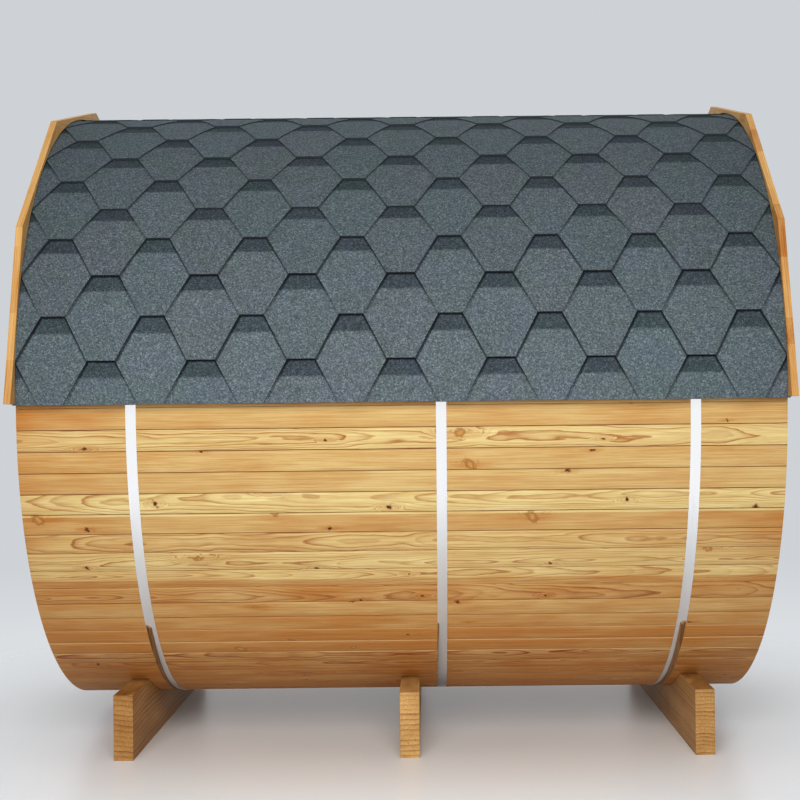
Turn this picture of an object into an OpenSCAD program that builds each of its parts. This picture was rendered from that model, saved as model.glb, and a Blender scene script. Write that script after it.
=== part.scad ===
// Barrel sauna: a cabin coopered from long staves like a cask laid on its side.
// Three steel hoops clamp the staves, three timber cradles carry them, and the upper
// half wears a boarded roof of lapped six-sided shingles, closed at both ends by
// mitred and rebated end boards. The board walls at the ends sit in a groove cut
// round the inside of the staves. Lengths are in millimetres. X runs along the barrel,
// Z is up, and the origin is on the ground under the middle of the barrel.

/* [Barrel] */
// Outside diameter of the barrel
barrel_d = 1950; // [1700:10:2400]
// Length of the staves
barrel_l = 2200; // [1800:10:3200]
// Number of staves round the barrel
stave_count = 98; // [70:14:126]
// Thickness of a stave
stave_t = 42; // [36:1:60]
// Radius of the bead that runs along one edge of a stave
bead_r = 7; // [4:0.5:10]
// Width of the eased outer edge of a stave
stave_ease = 2; // [0.5:0.5:4]
// Depth of the groove in the staves that holds an end wall
croze_depth = 10; // [5:1:16]

/* [Hoops] */
// Width of a steel hoop
hoop_w = 30; // [20:1:50]
// Thickness of a steel hoop
hoop_t = 1.5; // [1:0.5:4]
// Distance of the left hoop from the left end of the staves
hoop_left_inset = 327; // [250:1:450]
// Distance of the middle hoop from the middle of the barrel
hoop_middle_offset = 112; // [80:1:250]
// Distance of the right hoop from the right end of the staves
hoop_right_inset = 262; // [245:1:400]

/* [Cradles] */
// Length of a cradle across the barrel
cradle_l = 1375; // [1100:5:1700]
// Height of a cradle at its ends
cradle_h = 201; // [150:1:300]
// Thickness of a cradle along the barrel
cradle_t = 60; // [40:1:90]
// Height of the underside of the barrel above the ground
barrel_clear = 102; // [60:1:140]
// Distance of the left cradle from the left end of the staves
cradle_left_inset = 233; // [120:1:250]
// Distance of the middle cradle from the middle of the barrel
cradle_middle_offset = 9; // [-30:1:30]
// Distance of the right cradle from the right end of the staves
cradle_right_inset = 187; // [100:1:190]

/* [Roof] */
// Height of the lower edge of the roof above the axis of the barrel
roof_edge_rise = 10; // [5:1:60]
// Thickness of the roof boards
deck_t = 24; // [16:1:35]
// Number of roof boards on each side
deck_boards = 18; // [12:1:30]
// Thickness of a shingle
shingle_t = 3; // [2:0.5:5]
// Height of a shingle course that stays in view
course_h = 125; // [90:1:160]
// Distance between the tabs of a shingle along the roof
tab_pitch = 286; // [200:1:340]
// Width of a shingle tab at its foot
tab_foot_w = 76; // [50:1:100]

/* [End boards] */
// Number of end boards over the half circle of the roof
end_board_count = 6; // [4:1:8]
// Thickness of an end board where it hooks over the edge of the roof
end_board_t = 20; // [14:0.5:30]
// Thickness of the lip of an end board that covers the end of the roof
end_lip_t = 12; // [6:0.5:13]
// Height of an end board over the shingles at its middle
end_board_rise = 11; // [8:0.5:40]
// Height of the foot of the lowest end boards above the axis of the barrel
end_board_foot = 13; // [5:1:60]

/* [End walls] */
// Thickness of the end walls
wall_t = 42; // [28:1:60]
// Width of a wall board
wall_board_w = 120; // [80:1:180]
// Distance of the front wall from the left end of the staves
front_wall_inset = 120; // [100:1:200]
// Distance of the back wall from the right end of the staves
back_wall_inset = 80; // [50:1:200]

/* [Door] */
// Width of the door leaf
door_w = 600; // [500:5:700]
// Thickness of the door leaf
door_t = 40; // [28:1:50]
// Clear gap round the door leaf
door_gap = 3; // [2:0.5:6]
// Width of the door frame on its face
frame_w = 45; // [35:1:70]
// Distance that the door frame stands proud of the wall on both faces
frame_proud = 14; // [5:1:25]
// Least distance of the corners of the door frame from the staves
frame_clear = 16; // [8:1:60]
// Length of a hinge strap on the door leaf
hinge_strap_l = 320; // [150:5:420]
// Height of a hinge strap
hinge_strap_w = 40; // [25:1:60]
// Distance of the hinges from the ends of the door leaf
hinge_inset = 240; // [150:5:400]
// Length of the door handle
handle_l = 320; // [200:5:500]
// Diameter of the door handle
handle_d = 30; // [22:1:40]
// Distance of the handle from the edge of the door leaf
handle_inset = 70; // [50:1:120]
// Clear space for the hand behind the handle
handle_space = 42; // [35:1:50]

/* [Hidden] */

// Round surfaces are drawn with this many sides, and small ones with fewer
$fn = 192;
small_fn = 32;

// Clearance of pieces that seat on each other, and gap between boards side by side
fit = 0.3;
board_gap = 0.4;
// Length by which a cut runs past what it cuts
overrun = 20;

// Colours of the pieces
stave_colour = [0.80, 0.62, 0.38];
trim_colour = [0.72, 0.53, 0.30];
steel_colour = [0.82, 0.82, 0.83];
deck_colour = [0.70, 0.58, 0.40];
shingle_colour = [0.35, 0.39, 0.42];
iron_colour = [0.20, 0.20, 0.21];

// Barrel
barrel_r = barrel_d / 2;
inner_r = barrel_r - stave_t;
axis_z = barrel_clear + barrel_r;
stave_angle = 360 / stave_count;
panel_count = 14;
staves_a_panel = stave_count / panel_count;
barrel_end = barrel_l / 2;

// End walls, with the front one on the left
wall_r = inner_r + croze_depth - fit;
front_out = -barrel_end + front_wall_inset;
front_in = front_out + wall_t;
back_out = barrel_end - back_wall_inset;
back_in = back_out - wall_t;

// Roof: each shingle course is a sheet two exposures high whose arc is struck from a
// centre moved down the slope, so that its foot lies on the course below it
deck_in_r = barrel_r + fit + hoop_t + fit;
deck_r = deck_in_r + deck_t;
lap = shingle_t + fit;
sheet_mid_r = deck_r + fit + lap;
roof_r = sheet_mid_r + lap + shingle_t;
eave_angle = asin(roof_edge_rise / roof_r);
course_angle = course_h / roof_r * 180 / PI;
sheet_shift = lap / sin(course_angle);
sheet_r = sqrt(sheet_mid_r * sheet_mid_r + sheet_shift * sheet_shift);
course_end_share = 0.25;
course_count = floor((90 - eave_angle) / course_angle - course_end_share);
ridge_gap_angle = asin(board_gap / sheet_mid_r);

// End boards
end_seg_angle = 180 / end_board_count;
end_mid_r = roof_r + end_board_rise;
end_corner_r = end_mid_r / cos(end_seg_angle / 2);

// Door, as high as the barrel lets its frame be
frame_half_w = door_w / 2 + door_gap + frame_w;
frame_corner_r = inner_r - frame_clear;
frame_half_h = sqrt(frame_corner_r * frame_corner_r - frame_half_w * frame_half_w);
leaf_half_h = frame_half_h - frame_w - door_gap;
door_face = front_out - frame_proud;
hinge_t = 4;
knuckle_r = 8;

// Draws a flat outline across the barrel, Y across and Z from its axis, from x0 to x1
module span(x0, x1) {
    translate([x0, 0, axis_z]) rotate([90, 0, 90]) linear_extrude(x1 - x0) children();
}

module ring(outer, inner) {
    difference() {
        circle(outer);
        circle(inner);
    }
}

// A sector between two angles, with half the gap taken off along both its sides
module sector(from, to, gap = 0) {
    half = (to - from) / 2;
    reach = 2 * barrel_r;
    rotate((from + to) / 2) translate([gap / 2 / sin(half), 0])
        polygon([[0, 0], [reach, -reach * tan(half)], [reach, reach * tan(half)]]);
}

// The front of the barrel is at -Y and its back at +Y
module on_side(front) {
    if (front) mirror([0, 1, 0]) children();
    else children();
}

// Stave: a bead on one edge, a cove for the next stave's bead on the other, and both
// outer edges eased
module stave_outline() {
    half = stave_angle / 2;
    bead_at = (barrel_r + inner_r) / 2;
    difference() {
        union() {
            intersection() {
                ring(barrel_r, inner_r);
                sector(-half, half, board_gap);
            }
            rotate(half) translate([bead_at, 0]) circle(bead_r, $fn = small_fn);
        }
        rotate(-half) translate([bead_at, 0]) circle(bead_r + board_gap, $fn = small_fn);
        for (edge = [-half, half])
            rotate(edge) translate([barrel_r, 0]) rotate(45)
                square(stave_ease * sqrt(2), center = true);
    }
}

// Groove round the inside of the staves for one end wall
module croze(x0, x1) {
    span(x0 - fit, x1 + fit) circle(inner_r + croze_depth);
}

module staves(panel) {
    color(stave_colour) for (i = [0 : staves_a_panel - 1])
        difference() {
            span(-barrel_end, barrel_end)
                rotate((panel * staves_a_panel + i + 0.5) * stave_angle) stave_outline();
            croze(front_out, front_in);
            croze(back_in, back_out);
        }
}

module hoop(x) {
    color(steel_colour) span(x - hoop_w / 2, x + hoop_w / 2)
        ring(barrel_r + fit + hoop_t, barrel_r + fit);
}

// Cradle: a plank on edge with the round of the barrel sawn out of its top
module cradle(x) {
    color(trim_colour) span(x - cradle_t / 2, x + cradle_t / 2) difference() {
        translate([-cradle_l / 2, -axis_z]) square([cradle_l, cradle_h]);
        circle(barrel_r + fit);
    }
}

// Roof boards along the barrel, from the eave to the ridge, lying on the hoops
module roof_boards(front) {
    step = (90 - eave_angle) / deck_boards;
    color(deck_colour) on_side(front) for (i = [0 : deck_boards - 1])
        span(-barrel_end, barrel_end) intersection() {
            ring(deck_r, deck_in_r);
            sector(eave_angle + i * step, eave_angle + (i + 1) * step, board_gap);
        }
}

// Part of a shingle sheet seen from its end, between two angles from its middle
module sheet_outline(from, to) {
    intersection() {
        translate([0, -sheet_shift]) ring(sheet_r + shingle_t, sheet_r);
        sector(from, to);
    }
}

// The space between two tabs of a sheet: narrow at its root and wide at its mouth
module tab_notch(x, angle) {
    half_h = sheet_r * sin(course_angle / 2);
    root = tab_foot_w / 2;
    mouth = (tab_pitch - tab_foot_w) / 2;
    translate([x, 0, axis_z]) rotate([angle - course_angle / 2, 0, 0])
        translate([0, sheet_r + overrun, 0]) rotate([90, 0, 0]) linear_extrude(2 * overrun)
            polygon([
                [-root, half_h], [root, half_h],
                [mouth, -half_h], [mouth, -half_h - overrun],
                [-mouth, -half_h - overrun], [-mouth, -half_h]
            ]);
}

// One shingle course with its tabs, set half a pitch on from the course below it
module shingle_course(k) {
    middle = eave_angle + (k + 1) * course_angle;
    top = min(course_angle, 90 - ridge_gap_angle - middle);
    first = k % 2 == 0 ? 0 : tab_pitch / 2;
    notches = ceil(barrel_end / tab_pitch);
    difference() {
        span(-barrel_end, barrel_end) rotate(middle) sheet_outline(-course_angle, top);
        for (i = [-notches : notches])
            if (abs(first + i * tab_pitch) < barrel_end + (tab_pitch - tab_foot_w) / 2)
                tab_notch(first + i * tab_pitch, middle);
    }
}

// A third of the courses of one side: lower 0, middle 1, upper 2. A plain starter strip
// lies under the lowest course.
module shingles(front, third) {
    k0 = round(course_count * third / 3);
    k1 = round(course_count * (third + 1) / 3) - 1;
    color(shingle_colour) on_side(front) {
        for (k = [k0 : k1]) shingle_course(k);
        if (third == 0)
            span(-barrel_end, barrel_end) rotate(eave_angle) sheet_outline(0, course_angle);
    }
}

// Strip bent over the ridge, lapped on the top course of both sides
module ridge_strip() {
    foot = eave_angle + course_count * course_angle;
    color(shingle_colour) span(-barrel_end, barrel_end) intersection() {
        ring(roof_r, roof_r - shingle_t);
        sector(foot, 180 - foot);
    }
}

// Face of one end board out to the straight edge between two corners of the half ring
module end_board_outline(i, inner) {
    reach = 2 * barrel_r;
    corners = [for (k = [i, i + 1]) end_corner_r * [cos(k * end_seg_angle), sin(k * end_seg_angle)]];
    intersection() {
        difference() {
            polygon([[0, 0], corners[0], corners[1]]);
            circle(inner);
        }
        sector(i * end_seg_angle, (i + 1) * end_seg_angle, board_gap);
        translate([-reach, end_board_foot]) square([2 * reach, reach]);
    }
}

// Half ring of end boards, mitred at the corners. A rebate leaves a lip over the end of
// the roof and a thicker upper edge that hooks over the shingles.
module end_boards(right) {
    hook = end_board_t - end_lip_t;
    color(trim_colour) mirror([right ? 0 : 1, 0, 0]) for (i = [0 : end_board_count - 1]) {
        span(barrel_end, barrel_end + end_lip_t) end_board_outline(i, inner_r);
        span(barrel_end - hook, barrel_end) end_board_outline(i, roof_r + fit);
    }
}

// Upright boards side by side from y0 to y1, cut to an outline
module board_row(x0, x1, y0, y1) {
    count = max(1, round((y1 - y0) / wall_board_w));
    step = (y1 - y0) / count;
    reach = 2 * barrel_r;
    for (i = [0 : count - 1])
        span(x0, x1) intersection() {
            children();
            translate([y0 + i * step + board_gap / 2, -reach]) square([step - board_gap, 2 * reach]);
        }
}

// The door opening is as wide and high as the frame, with a clearance round it
module front_wall_side(y0, y1) {
    color(stave_colour) board_row(front_out, front_in, y0, y1) circle(wall_r);
}

module front_wall_end(over) {
    half = frame_half_w + fit;
    reach = 2 * barrel_r;
    color(stave_colour) board_row(front_out, front_in, -half, half) intersection() {
        circle(wall_r);
        translate([-reach, over ? frame_half_h + fit : -frame_half_h - fit - reach])
            square([2 * reach, reach]);
    }
}

module back_wall() {
    color(stave_colour) board_row(back_in, back_out, -wall_r, wall_r) circle(wall_r);
}

// Door frame: two full-height jambs with a head and a sill between them
module door_frame() {
    x1 = front_in + frame_proud;
    inside = frame_half_w - frame_w;
    color(trim_colour) {
        for (y = [-frame_half_w, inside])
            span(door_face, x1) translate([y, -frame_half_h]) square([frame_w, 2 * frame_half_h]);
        for (z = [-frame_half_h, frame_half_h - frame_w])
            span(door_face, x1) translate([-inside + fit, z]) square([2 * (inside - fit), frame_w]);
    }
}

module door_leaf() {
    color(stave_colour) board_row(door_face, door_face + door_t, -door_w / 2, door_w / 2)
        square([door_w, 2 * leaf_half_h], center = true);
}

// Hinge: a strap on the leaf, a plate on the jamb and the knuckle between them
module hinge(z) {
    pin_y = (door_w + door_gap) / 2;
    plate_l = frame_w - hinge_t;
    translate([door_face, pin_y, axis_z + z]) {
        translate([-hinge_t, -hinge_strap_l, -hinge_strap_w / 2])
            cube([hinge_t, hinge_strap_l + plate_l, hinge_strap_w]);
        translate([-knuckle_r, 0, 0]) cylinder(r = knuckle_r, h = hinge_strap_w, center = true, $fn = small_fn);
    }
}

module door_hinges() {
    color(iron_colour) for (z = [-1, 1]) hinge(z * (leaf_half_h - hinge_inset));
}

// Handle: a round bar on two short pegs
module door_handle() {
    y = -door_w / 2 + handle_inset;
    bar_x = door_face - handle_space - handle_d / 2;
    peg_r = handle_d / 3;
    peg_z = handle_l / 2 - handle_d;
    color(trim_colour) {
        translate([bar_x, y, axis_z])
            cylinder(d = handle_d, h = handle_l, center = true, $fn = small_fn);
        for (z = [-peg_z, peg_z])
            translate([bar_x, y, axis_z + z]) rotate([0, 90, 0])
                cylinder(r = peg_r, h = door_face - bar_x, $fn = small_fn);
    }
}

for (panel = [0 : panel_count - 1])
    staves(panel);
hoop(-barrel_end + hoop_left_inset);  // hoop_left
hoop(hoop_middle_offset);  // hoop_middle
hoop(barrel_end - hoop_right_inset);  // hoop_right
cradle(-barrel_end + cradle_left_inset);  // cradle_left
cradle(cradle_middle_offset);  // cradle_middle
cradle(barrel_end - cradle_right_inset);  // cradle_right
roof_boards(true);  // roof_boards_front
roof_boards(false);  // roof_boards_back
shingles(true, 0);  // shingles_front_lower
shingles(true, 1);  // shingles_front_middle
shingles(true, 2);  // shingles_front_upper
shingles(false, 0);  // shingles_back_lower
shingles(false, 1);  // shingles_back_middle
shingles(false, 2);  // shingles_back_upper
ridge_strip();
end_boards(false);  // end_boards_left
end_boards(true);  // end_boards_right
front_wall_side(frame_half_w + fit, wall_r);  // front_wall_left
front_wall_side(-wall_r, -frame_half_w - fit);  // front_wall_right
front_wall_end(true);  // front_wall_over_door
front_wall_end(false);  // front_wall_under_door
back_wall();
door_frame();
door_leaf();
door_hinges();
door_handle();
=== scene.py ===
# %% [markdown]
# # A barrel sauna
# The cabin is coopered like a cask laid on its side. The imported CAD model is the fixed
# frame: it gives every size and place, and each cell dresses one of its pieces. Most of
# the pieces are boards, so one small set of board tools comes before them.

# %% Load the frame
import math
import random

import bmesh
import bpy
from mathutils import Matrix, Vector


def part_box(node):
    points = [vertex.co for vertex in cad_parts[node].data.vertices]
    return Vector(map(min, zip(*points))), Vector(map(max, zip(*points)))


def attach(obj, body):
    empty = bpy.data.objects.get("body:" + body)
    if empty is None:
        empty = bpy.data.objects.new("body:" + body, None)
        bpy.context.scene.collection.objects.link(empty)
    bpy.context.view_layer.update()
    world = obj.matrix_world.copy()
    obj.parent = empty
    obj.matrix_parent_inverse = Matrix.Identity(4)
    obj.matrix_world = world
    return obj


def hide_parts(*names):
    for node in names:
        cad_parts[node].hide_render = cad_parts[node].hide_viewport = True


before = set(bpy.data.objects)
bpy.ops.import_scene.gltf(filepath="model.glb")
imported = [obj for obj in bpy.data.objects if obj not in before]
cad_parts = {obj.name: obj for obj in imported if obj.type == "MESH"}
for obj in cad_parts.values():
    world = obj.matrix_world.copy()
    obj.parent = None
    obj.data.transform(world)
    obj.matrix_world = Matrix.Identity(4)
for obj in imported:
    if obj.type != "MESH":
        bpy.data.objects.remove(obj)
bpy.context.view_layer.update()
rng = random.Random(11)
print("CAD nodes:", len(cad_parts))

# %% [markdown]
# ## Sizes
# A barrel is described by its axis, its radius and its ends. They are read from the hoops
# and staves of the frame, so the dressing follows the CAD model. What the frame's boxes
# don't tell, such as the number of staves, is stated here once, in metres.

# %% Sizes of the barrel and its roof
MM = 0.001
hoop_low, hoop_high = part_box("hoop_left")
AXIS_Z = (hoop_low.z + hoop_high.z) / 2
STAVE_COUNT = 98
STAVE_ANGLE = math.tau / STAVE_COUNT
STAVE_T = 42 * MM
BARREL_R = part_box("staves_01")[1].y
BARREL_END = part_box("staves_01")[1].x
INNER_R = BARREL_R - STAVE_T
ROOF_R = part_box("ridge_strip")[1].z - AXIS_Z
SEAT_FIT = 0.3 * MM
BOARD_GAP = 0.4 * MM
print(f"axis {AXIS_Z:.3f} m, barrel radius {BARREL_R:.3f} m, roof radius {ROOF_R:.3f} m")

# %% [markdown]
# ## Colours and nodes
# Colours are written as the sRGB values that a paint chart gives, and one function turns
# them into the linear light that shaders work in. Another adds a node, sets its options and
# feeds its inputs, so that a material reads as a short recipe. A Mix node has a pair of
# inputs for each kind of value, all of the same names, so its two colours go by number.

# %% Helpers for materials
FIRST, SECOND = 6, 7
WHITE = (1, 1, 1, 1)


def linear(code):
    """An sRGB hex colour as linear red, green, blue and alpha."""
    parts = [int(code[i:i + 2], 16) / 255 for i in (1, 3, 5)]
    return [c / 12.92 if c <= 0.04045 else ((c + 0.055) / 1.055) ** 2.4 for c in parts] + [1.0]


def feed(tree, node, inputs):
    """Gives inputs a constant, a socket, or another node, which stands for its first live output."""
    for key, value in inputs.items():
        if isinstance(value, bpy.types.Node):
            value = next(socket for socket in value.outputs if socket.enabled)
        if isinstance(value, bpy.types.NodeSocket):
            tree.links.new(value, node.inputs[key])
        else:
            node.inputs[key].default_value = value


def add(tree, kind, inputs=None, **settings):
    """Adds a node with its settings and feeds its inputs, which go by name or number."""
    node = tree.nodes.new("ShaderNode" + kind)
    for name, value in settings.items():
        setattr(node, name, value)
    feed(tree, node, inputs or {})
    return node


def new_material(name):
    """An empty node material with its output and its principled shader."""
    material = bpy.data.materials.new(name)
    material.use_nodes = True
    tree = material.node_tree
    tree.nodes.clear()
    shader = add(tree, "BsdfPrincipled")
    add(tree, "OutputMaterial", {"Surface": shader})
    return material, tree, shader


print("half grey in linear light:", round(linear("#808080")[0], 3))

# %% [markdown]
# ## Knots
# A knot is the stub of a branch. A dead one is nearly black, and a live one is brown with a
# dark rind. An image of wood would repeat its knots on every board, so they are worked out
# from a board's place in the trunk, an attribute named grain. A Voronoi pattern, stretched
# along the grain, offers one knot in each cell, and its random colour decides which of them
# are real, how large they are and how they lean.

# %% Knots
KNOT_CELL = (360 * MM, 105 * MM, 1.0)


def knots(tree, grain, knot_share):
    """Two masks, of the knots and of the wood that they push aside, and the colour of the knots."""
    twist = add(tree, "TexNoise", {"Vector": grain, "Scale": 1 / (16 * MM), "Detail": 1.0})
    twisted = add(tree, "VectorMath", {0: twist.outputs["Color"], 1: (14 * MM, 9 * MM, 0), 2: grain},
                  operation="MULTIPLY_ADD")
    in_cells = add(tree, "VectorMath", {0: twisted, 1: [1 / c for c in KNOT_CELL]}, operation="MULTIPLY")
    spots = add(tree, "TexVoronoi", {"Vector": in_cells, "Scale": 1.0, "Randomness": 0.9},
                voronoi_dimensions="2D")
    dice = add(tree, "SeparateColor", {"Color": spots.outputs["Color"]}).outputs
    real = add(tree, "Math", {0: dice["Red"], 1: knot_share}, operation="LESS_THAN")
    size = add(tree, "MapRange", {"Value": dice["Green"], "To Min": 3 * MM, "To Max": 10 * MM})
    offset = add(tree, "VectorMath", {0: in_cells, 1: spots.outputs["Position"]}, operation="SUBTRACT")
    away = add(tree, "VectorMath", {0: offset, 1: KNOT_CELL}, operation="MULTIPLY")
    tilt = add(tree, "MapRange", {"Value": dice["Blue"], "From Max": 0.5, "To Min": 0.7, "To Max": 0.0})
    leaning = add(tree, "VectorRotate", {"Vector": away, "Angle": tilt}, rotation_type="Z_AXIS")
    slim = add(tree, "MapRange", {"Value": dice["Blue"], "To Min": 0.34, "To Max": 1.5})
    wobble = add(tree, "TexNoise", {"Vector": grain, "Scale": 1 / (7 * MM), "Detail": 2.0})
    reach = []
    for place, stretch, width, rough in ((leaning, 1.3, slim, 10 * MM), (away, 3.6, 1.2, 3 * MM)):
        shape = add(tree, "CombineXYZ", {"X": 1 / stretch, "Y": width})
        flat = add(tree, "VectorMath", {0: place, 1: shape}, operation="MULTIPLY")
        length = add(tree, "VectorMath", {0: flat}, operation="LENGTH")
        ragged = add(tree, "Math", {0: wobble, 1: rough, 2: -rough / 2}, operation="MULTIPLY_ADD")
        uneven = add(tree, "Math", {0: length, 1: ragged}, operation="ADD")
        reach.append(add(tree, "Math", {0: uneven, 1: size}, operation="DIVIDE"))
    heart = add(tree, "MapRange", {"Value": reach[0], "From Min": 1.5, "From Max": 0.6},
                interpolation_type="SMOOTHSTEP")
    halo = add(tree, "MapRange", {"Value": reach[1], "From Min": 3.4, "From Max": 0.4},
               interpolation_type="SMOOTHERSTEP")
    knot, push = (add(tree, "Math", {0: mask, 1: real}, operation="MULTIPLY") for mask in (heart, halo))
    alive = add(tree, "MapRange", {"Value": dice["Green"], "From Min": 0.45, "From Max": 0.6})
    core = add(tree, "Mix", {"Factor": alive, FIRST: linear("#3C1D0D"), SECOND: linear("#C08A48")},
               data_type="RGBA")
    rind = add(tree, "Mix", {"Factor": alive, FIRST: linear("#A0642F"), SECOND: linear("#7E4518")},
               data_type="RGBA")
    bark = add(tree, "MapRange", {"Value": reach[0], "From Min": 0.3, "From Max": 1.1})
    colour = add(tree, "Mix", {"Factor": bark, FIRST: core, SECOND: rind}, data_type="RGBA")
    return knot, push, colour


print("knots: one place for each", [round(c / MM) for c in KNOT_CELL[:2]], "mm of board")

# %% [markdown]
# ## Year rings
# Pine and spruce boards show the year rings of the trunk: pale spring wood that darkens to
# a thin orange line of autumn wood. A board is a slice of those nested cones, so the lines
# run along it and close into flames where the slice leaves a ring. A Wave texture would give
# only straight lines. This material measures the distance from the heart of the tree, so
# the end of a board shows the same rings as its face.

# %% Year rings
RING_LINE = ((0.42, 0.1), (0.7, 0.45), (0.87, 1.0), (0.96, 0.7))


def year_rings(tree, grain, slow, shiver, figure, push, ring_mm, wave_mm):
    """How much autumn wood shows: from the distance to the heart, which wanders and bends round knots."""
    across = add(tree, "VectorMath", {0: grain, 1: (0, 1, 1)}, operation="MULTIPLY")
    radius = add(tree, "VectorMath", {0: across}, operation="LENGTH")
    wander = add(tree, "TexNoise", {"Vector": slow, "Scale": 1.0, "Detail": 2.0})
    swing = add(tree, "MapRange", {"Value": figure, "To Min": 12 * MM, "To Max": 34 * MM})
    distance = radius
    for share, reach in ((wander, swing), (shiver, wave_mm * MM), (push, 16 * MM)):
        distance = add(tree, "Math", {0: share, 1: reach, 2: distance}, operation="MULTIPLY_ADD")
    years = add(tree, "Math", {0: distance, 1: ring_mm * MM}, operation="DIVIDE")
    season = add(tree, "Math", {0: years}, operation="FRACT")
    year = add(tree, "Math", {0: years}, operation="FLOOR")
    line = add(tree, "ValToRGB", {"Fac": season})
    stops = line.color_ramp.elements
    stops[1].color = (0.05, 0.05, 0.05, 1)
    for at, value in RING_LINE:
        stops.new(at).color = (value, value, value, 1)
    luck = add(tree, "TexWhiteNoise", {"W": year}, noise_dimensions="1D")
    strength = add(tree, "MapRange", {"Value": luck, "To Min": 0.25, "To Max": 1.0})
    drawn = add(tree, "MapRange", {"Value": figure, "To Min": 0.22, "To Max": 1.0}, clamp=False)
    clear = add(tree, "Math", {0: strength, 1: drawn}, operation="MULTIPLY")
    return add(tree, "Math", {0: line, 1: clear}, operation="MULTIPLY")


print("a ring is darkest at", max(RING_LINE, key=lambda stop: stop[1])[0], "of its width")

# %% [markdown]
# ## Softwood
# Planed and oiled pine is satin and warm. Its colour is built up in layers, each a Mix node
# over the one before: autumn wood over spring wood, fine fibres, the shade of the board,
# knots, brown dirt in the joints, or a painted highlight where light catches the eased edge
# of a joint. Besides the grain, a vertex carries its tone, its figure, which is how lively
# the rings are, and its groove, which is how far it lies in a joint; below zero it paints
# the highlight. Autumn wood stands a little proud after planing.

# %% Softwood
# Waves for each metre along and across the grain: clouds, shivers of the rings, and fibres.
# Fibres are far finer than a millimetre: they are drawn at 6 mm so that they show
CLOUD_WAVES, SHIVER_WAVES, FIBRE_WAVES = (2.6, 8, 8), (11, 60, 60), (3, 180, 180)


def softwood(name, spring, autumn, shade, comb="#E3CBAE", ring_mm=2.6, knot_share=0.45, roughness=0.55,
             cloud=1.6, mottle=0.9, wave_mm=4.0):
    """Planed and oiled pine: satin, warm, with rings, knots, fibres and a shade per board."""
    material, tree, shader = new_material(name)
    grain = add(tree, "Attribute", attribute_name="grain").outputs["Vector"]
    tone, groove, figure = (add(tree, "Attribute", attribute_name=layer).outputs["Fac"]
                            for layer in ("tone", "groove", "figure"))
    slow, quick, hair = (add(tree, "VectorMath", {0: grain, 1: waves}, operation="MULTIPLY")
                         for waves in (CLOUD_WAVES, SHIVER_WAVES, FIBRE_WAVES))
    shiver = add(tree, "TexNoise", {"Vector": quick, "Scale": 1.0, "Detail": 2.0})
    fibre = add(tree, "TexNoise", {"Vector": hair, "Scale": 1.0, "Detail": 5.0, "Roughness": 0.7})
    knot, push, knot_colour = knots(tree, grain, knot_share)
    rings = year_rings(tree, grain, slow, shiver, figure, push, ring_mm, wave_mm)

    strands = add(tree, "MapRange", {"Value": fibre, "From Min": 0.3, "From Max": 0.65})
    sheen = add(tree, "Mix", {"Factor": strands, FIRST: linear(comb), SECOND: linear("#FFFFFF")},
                data_type="RGBA")
    drift = add(tree, "TexNoise", {"Vector": slow, "Scale": cloud, "Detail": 2.0})
    winged = add(tree, "Math", {0: push, 1: 0.25, 2: tone}, operation="MULTIPLY_ADD")
    uneven = add(tree, "Math", {0: drift, 1: mottle, 2: winged}, operation="MULTIPLY_ADD")
    shade_share = add(tree, "MapRange", {"Value": uneven, "From Min": mottle / 2, "From Max": mottle / 2 + 1})
    shaded = add(tree, "Mix", {"Factor": shade_share, FIRST: WHITE, SECOND: linear(shade)}, data_type="RGBA")
    patchy = add(tree, "MapRange", {"Value": shiver, "From Min": 0.3, "From Max": 0.65,
                                    "To Min": 0.6, "To Max": 1.0})
    soiled = add(tree, "Math", {0: groove, 1: 2.2}, operation="MULTIPLY", use_clamp=True)
    dirt = add(tree, "Math", {0: soiled, 1: patchy}, operation="MULTIPLY")
    # A groove below zero paints a highlight, where light catches the eased edge of a joint
    painted_edge_highlight = add(tree, "Math", {0: groove, 1: -1.0}, operation="MULTIPLY", use_clamp=True)
    colour = linear(spring)
    for share, layer, blend in ((rings, linear(autumn), "MIX"), (1.0, sheen, "MULTIPLY"),
                                (1.0, shaded, "MULTIPLY"), (knot, knot_colour, "MIX"),
                                (dirt, linear("#7A3C12"), "MIX"), (painted_edge_highlight, linear("#FFE9B4"), "MIX")):
        colour = add(tree, "Mix", {"Factor": share, FIRST: colour, SECOND: layer}, data_type="RGBA",
                     blend_type=blend)

    relief = add(tree, "Math", {0: rings, 1: fibre}, operation="ADD")
    bump = add(tree, "Bump", {"Height": relief, "Distance": 0.2 * MM, "Strength": 0.4})
    satin = add(tree, "MapRange", {"Value": fibre, "To Min": roughness - 0.08, "To Max": roughness + 0.1})
    feed(tree, shader, {"Base Color": colour, "Normal": bump, "Roughness": satin, "IOR": 1.47,
                        "Specular IOR Level": 0.25})
    return material


stave_pine = softwood("planed_pine_staves", "#E5D394", "#A5632A", "#D5A177", ring_mm=4.2, knot_share=0.7)
trim_pine = softwood("oiled_pine_trim", "#DDB06C", "#8F5824", "#C99C72", ring_mm=5.0, knot_share=0.12,
                     cloud=4.0, mottle=1.2)
cradle_pine = softwood("oiled_pine_cradles", "#DDB678", "#8A5526", "#B69E80", comb="#DAC5A6", ring_mm=13.0,
                       wave_mm=1.0)
sawn_pine = softwood("sawn_pine_roof_boards", "#CFA76E", "#96693A", "#B89A78", roughness=0.75)
print("wood finishes:", [m.name for m in (stave_pine, trim_pine, cradle_pine, sawn_pine)])

# %% [markdown]
# ## Board tools
# Every board is modelled lying flat, with X along its grain, Y across it and Z out of its
# show face, which is at zero. There its edges are eased and its place in the trunk is
# written on its vertices. Only then is it bent or moved to its seat, so the grain follows
# the board wherever it goes. Vertices a little below the show face belong to the joints,
# where dust and oil gather and darken the wood.

# %% Board tools
TINY = 1e-6
GROOVE_FLOOR = 12 * MM
JOINT_DEPTH = 1.2 * MM
NO_JOINTS = (0.0, 0.0)
LIVELY = 0.5


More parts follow.
